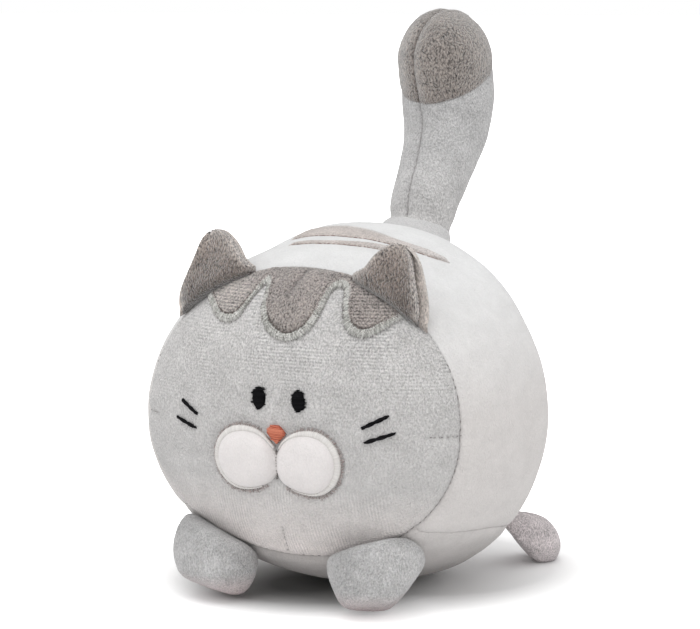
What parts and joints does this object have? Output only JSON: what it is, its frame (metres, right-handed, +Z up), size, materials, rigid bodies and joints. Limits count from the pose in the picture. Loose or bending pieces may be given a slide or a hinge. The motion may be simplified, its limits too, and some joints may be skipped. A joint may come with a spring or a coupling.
{
  "type": "plush cat",
  "caption": "Plush cat: a round stuffed body that rests on its underside, with an appliqued face, stand-up ears, stuffed paws and an upright stuffed tail on soft sprung seams.",
  "frame": {"origin": "the middle of the flat underside that the body rests on", "axes": "+Z is up, the cat faces -Y, and +X is the cat's left side"},
  "size_m": [0.15, 0.1708, 0.2217],
  "materials": {
    "face_fabric": "short-pile grey plush",
    "back_fabric": "short-pile white plush",
    "belly_fabric": "short-pile warm grey plush",
    "taupe_fabric": "short-pile taupe plush",
    "ear_fabric": "short-pile dark taupe plush",
    "grey_fabric": "short-pile light grey plush",
    "pad_fabric": "short-pile off-white plush",
    "sage_satin": "satin zigzag stitching",
    "coral_thread": "satin embroidery",
    "black_thread": "satin embroidery",
    "white_thread": "closing thread",
    "filling": "loose polyester fibre filling"
  },
  "bodies": {
    "body": {"face_panel": "face_fabric", "back_panel": "back_fabric", "belly_panel": "belly_fabric", "body_stuffing": "filling", "closing_stitches": "white_thread", "forehead_patch": "taupe_fabric", "forehead_edging": "sage_satin", "back_stripe_front": "taupe_fabric", "back_stripe_rear": "taupe_fabric", "muzzle_pad_left": "pad_fabric", "muzzle_pad_right": "pad_fabric", "muzzle_border_left": "pad_fabric", "muzzle_border_right": "pad_fabric", "nose": "coral_thread", "eye_left": "black_thread", "eye_right": "black_thread", "whiskers_left": "black_thread", "whiskers_right": "black_thread"},
    "ear_left": {"ear_left_front": "ear_fabric", "ear_left_back": "ear_fabric"},
    "ear_right": {"ear_right_front": "ear_fabric", "ear_right_back": "ear_fabric"},
    "tail": {"tail_left": "grey_fabric", "tail_right": "grey_fabric", "tail_tip_left": "taupe_fabric", "tail_tip_right": "taupe_fabric", "tail_stuffing": "filling"},
    "front_paw_left": {"front_paw_left_top": "grey_fabric", "front_paw_left_under": "grey_fabric", "front_paw_left_stuffing": "filling"},
    "front_paw_right": {"front_paw_right_top": "grey_fabric", "front_paw_right_under": "grey_fabric", "front_paw_right_stuffing": "filling"},
    "rear_paw_left": {"rear_paw_left_top": "grey_fabric", "rear_paw_left_under": "grey_fabric", "rear_paw_left_stuffing": "filling"},
    "rear_paw_right": {"rear_paw_right_top": "grey_fabric", "rear_paw_right_under": "grey_fabric", "rear_paw_right_stuffing": "filling"}
  },
  "joints": [
    {"name": "tail_seam", "type": "hinge", "parent": "body", "child": "tail", "pos_m": [0, 0.03881, 0.12532], "axis": [-1, 0, 0], "range_deg": [-10, 30], "stiffness_Nm_per_rad": 0.02},
    {"name": "ear_left_seam", "type": "hinge", "parent": "body", "child": "ear_left", "pos_m": [0.03554, -0.05722, 0.11968], "axis": [0.8795, -0.0329, -0.4748], "range_deg": [-20, 30], "stiffness_Nm_per_rad": 0.003},
    {"name": "ear_right_seam", "type": "hinge", "parent": "body", "child": "ear_right", "pos_m": [-0.03554, -0.05722, 0.11968], "axis": [0.8795, 0.0329, 0.4748], "range_deg": [-20, 30], "stiffness_Nm_per_rad": 0.003},
    {"name": "front_paw_left_seam", "type": "hinge", "parent": "body", "child": "front_paw_left", "pos_m": [0.03677, -0.06799, 0.03193], "axis": [-0.8971, -0.4418, 0], "range_deg": [0, 25], "stiffness_Nm_per_rad": 0.01},
    {"name": "front_paw_right_seam", "type": "hinge", "parent": "body", "child": "front_paw_right", "pos_m": [-0.03677, -0.06799, 0.03193], "axis": [-0.8971, 0.4418, 0], "range_deg": [0, 25], "stiffness_Nm_per_rad": 0.01},
    {"name": "rear_paw_left_seam", "type": "hinge", "parent": "body", "child": "rear_paw_left", "pos_m": [0.03712, 0.03122, 0.02506], "axis": [0.8688, -0.4951, 0], "range_deg": [0, 25], "stiffness_Nm_per_rad": 0.01},
    {"name": "rear_paw_right_seam", "type": "hinge", "parent": "body", "child": "rear_paw_right", "pos_m": [-0.03712, 0.03122, 0.02506], "axis": [0.8688, 0.4951, 0], "range_deg": [0, 25], "stiffness_Nm_per_rad": 0.01}
  ]
}
